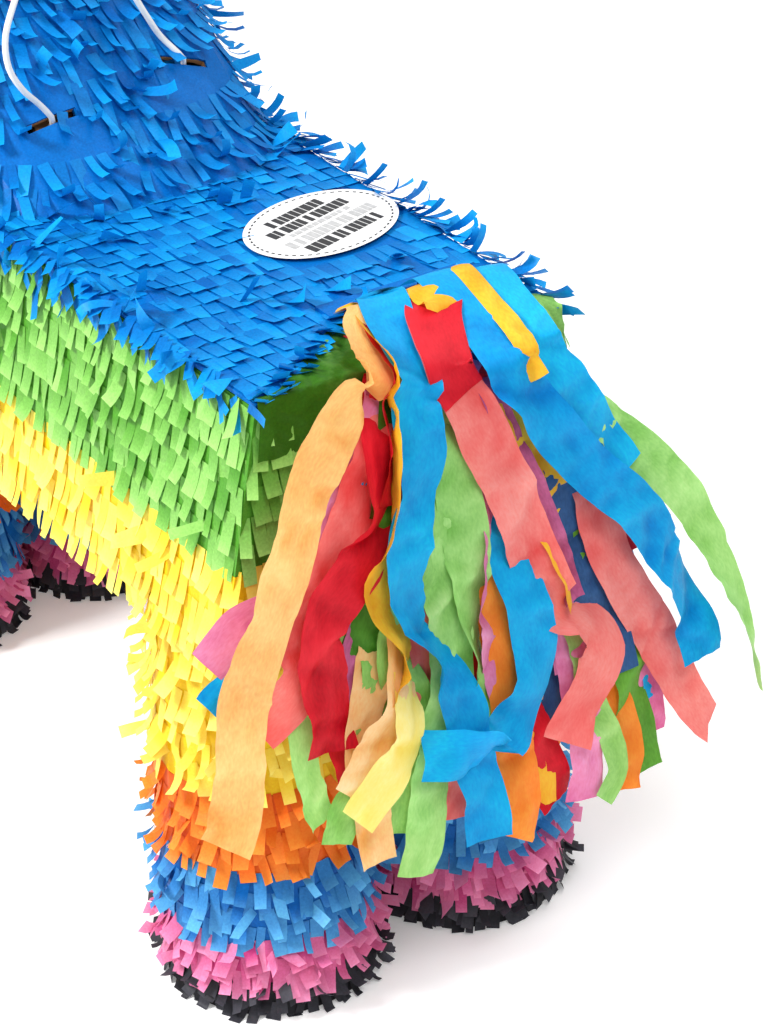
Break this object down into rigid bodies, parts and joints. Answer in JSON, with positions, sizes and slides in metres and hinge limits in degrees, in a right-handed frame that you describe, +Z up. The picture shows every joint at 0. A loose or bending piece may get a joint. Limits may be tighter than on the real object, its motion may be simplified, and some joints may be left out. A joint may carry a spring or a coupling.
{
  "type": "pinata",
  "caption": "Donkey-shaped party pinata: hollow board body on paper tube legs, wrapped in bands of fringed tissue paper, with a cord loop, a round fill flap and a tail of streamers.",
  "frame": {"origin": "on the floor under the middle of the object's bounding box, measured without the hanging cord and its knots", "axes": "+Z up, -Y towards the head, +Y towards the tail, +X to the donkey's own left"},
  "size_m": [0.256, 0.6072, 0.5763],
  "materials": {
    "board": "plain brown corrugated board",
    "tube_paper": "rolled brown paper",
    "tissue_blue": "matt fringed tissue paper",
    "tissue_green": "matt fringed tissue paper",
    "tissue_yellow": "matt fringed tissue paper",
    "tissue_orange": "matt fringed tissue paper",
    "tissue_pink": "matt fringed tissue paper",
    "tissue_black": "matt fringed tissue paper",
    "label_paper": "coated white paper sticker",
    "eye_card": "printed white card",
    "plastic_cord": "white plastic cord",
    "streamer_crepe": "crepe paper streamers in many colours"
  },
  "bodies": {
    "pinata": {"back_panel": "board", "belly_panel": "board", "chest_panel": "board", "rump_panel": "board", "left_side_panel": "board", "right_side_panel": "board", "neck_board": "board", "head_board": "board", "muzzle_board": "board", "hanger_board": "board", "front_left_hoof_board": "board", "front_left_leg_tube": "tube_paper", "front_right_hoof_board": "board", "front_right_leg_tube": "tube_paper", "rear_left_hoof_board": "board", "rear_left_leg_tube": "tube_paper", "rear_right_hoof_board": "board", "rear_right_leg_tube": "tube_paper", "back_tissue": "tissue_blue", "neck_tissue": "tissue_blue", "head_tissue": "tissue_blue", "left_ear": "tissue_blue", "right_ear": "tissue_blue", "tail_strip": "tissue_blue", "body_tissue_green": "tissue_green", "body_tissue_yellow": "tissue_yellow", "front_left_leg_black": "tissue_black", "front_left_leg_pink": "tissue_pink", "front_left_leg_blue": "tissue_blue", "front_left_leg_orange": "tissue_orange", "front_left_leg_yellow": "tissue_yellow", "front_right_leg_black": "tissue_black", "front_right_leg_pink": "tissue_pink", "front_right_leg_blue": "tissue_blue", "front_right_leg_orange": "tissue_orange", "front_right_leg_yellow": "tissue_yellow", "rear_left_leg_black": "tissue_black", "rear_left_leg_pink": "tissue_pink", "rear_left_leg_blue": "tissue_blue", "rear_left_leg_orange": "tissue_orange", "rear_left_leg_yellow": "tissue_yellow", "rear_right_leg_black": "tissue_black", "rear_right_leg_pink": "tissue_pink", "rear_right_leg_blue": "tissue_blue", "rear_right_leg_orange": "tissue_orange", "rear_right_leg_yellow": "tissue_yellow", "mane": "tissue_pink", "fill_label_rim": "label_paper", "left_eye": "eye_card", "right_eye": "eye_card", "hanging_cord": "plastic_cord", "left_cord_knot": "plastic_cord", "right_cord_knot": "plastic_cord", "tail_streamers_left": "streamer_crepe", "tail_streamers_middle": "streamer_crepe", "tail_streamers_right": "streamer_crepe"},
    "fill_flap": {"fill_flap": "board", "fill_flap_tissue": "tissue_blue", "fill_label": "label_paper"}
  },
  "joints": [
    {"name": "fill_flap_hinge", "type": "hinge", "parent": "pinata", "child": "fill_flap", "pos_m": [-0.036, 0.09606, 0.312], "axis": [-1, 0, 0], "range_deg": [0, 80]}
  ]
}
